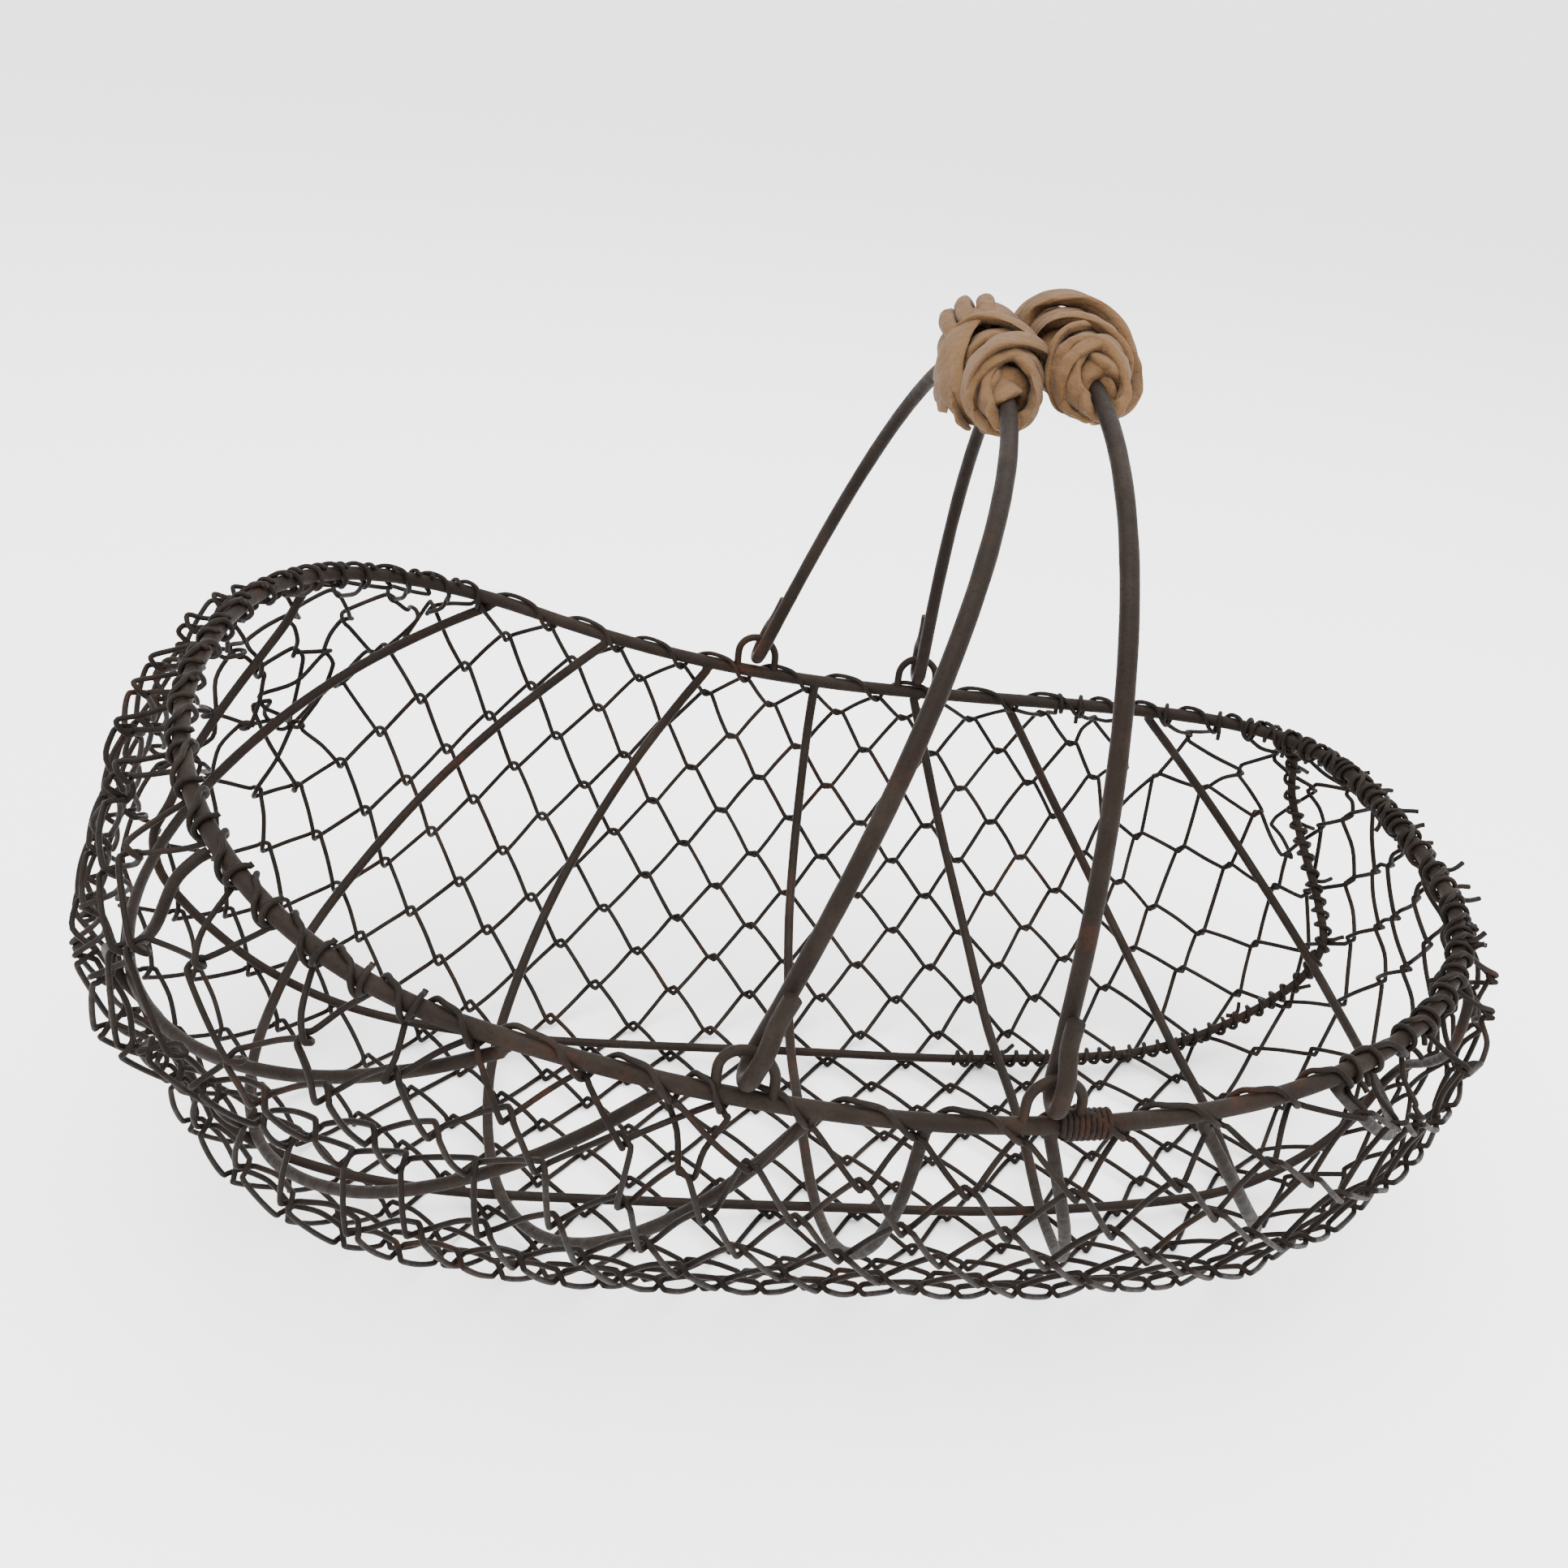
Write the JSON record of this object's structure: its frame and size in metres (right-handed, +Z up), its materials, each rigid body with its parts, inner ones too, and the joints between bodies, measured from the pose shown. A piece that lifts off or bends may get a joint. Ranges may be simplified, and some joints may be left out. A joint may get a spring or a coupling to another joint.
{
  "type": "wire basket",
  "caption": "Open garden basket of chain-link wire on a rod frame, with a saddle-shaped rim and hinged bail handles bound with fibre strip.",
  "frame": {"origin": "on the surface the basket stands on, under the middle of its overall box", "axes": "+X from the tall end to the low end, +Y to the far side, +Z up"},
  "size_m": [0.5581, 0.3588, 0.358],
  "materials": {
    "iron_rod": "matte",
    "net_wire": "matte",
    "grip_strip": "matte"
  },
  "bodies": {
    "basket": {"rim_hoop": "iron_rod", "rib_1": "iron_rod", "rib_2": "iron_rod", "rib_3": "iron_rod", "rib_4": "iron_rod", "rib_5": "iron_rod", "rib_6": "iron_rod", "rib_7": "iron_rod", "stringer_far": "iron_rod", "stringer_near": "iron_rod", "eye_left_near": "iron_rod", "eye_left_far": "iron_rod", "eye_right_near": "iron_rod", "eye_right_far": "iron_rod", "net_strand_01": "net_wire", "net_strand_02": "net_wire", "net_strand_03": "net_wire", "net_strand_04": "net_wire", "net_strand_05": "net_wire", "net_strand_06": "net_wire", "net_strand_07": "net_wire", "net_strand_08": "net_wire", "net_strand_09": "net_wire", "net_strand_10": "net_wire", "net_strand_11": "net_wire", "net_strand_12": "net_wire", "net_strand_13": "net_wire", "net_strand_14": "net_wire", "net_strand_15": "net_wire", "net_strand_16": "net_wire", "net_strand_17": "net_wire", "net_strand_18": "net_wire", "net_strand_19": "net_wire", "net_strand_20": "net_wire", "net_strand_21": "net_wire", "net_strand_22": "net_wire", "net_strand_23": "net_wire", "net_strand_24": "net_wire", "net_strand_25": "net_wire", "net_strand_26": "net_wire", "net_strand_27": "net_wire", "net_strand_28": "net_wire"},
    "left_handle": {"bail_left": "iron_rod", "grip_left": "grip_strip"},
    "right_handle": {"bail_right": "iron_rod", "grip_right": "grip_strip"}
  },
  "joints": [
    {"name": "left_bail_hinge", "type": "hinge", "parent": "basket", "child": "left_handle", "pos_m": [-0.0245, 0.00014, 0.15891], "axis": [-0.0566, -0.9984, 0.0079], "range_deg": [0, 86]},
    {"name": "right_bail_hinge", "type": "hinge", "parent": "basket", "child": "right_handle", "pos_m": [0.063, 0.00003, 0.15352], "axis": [0.006, 1, 0], "range_deg": [0, 77]}
  ]
}
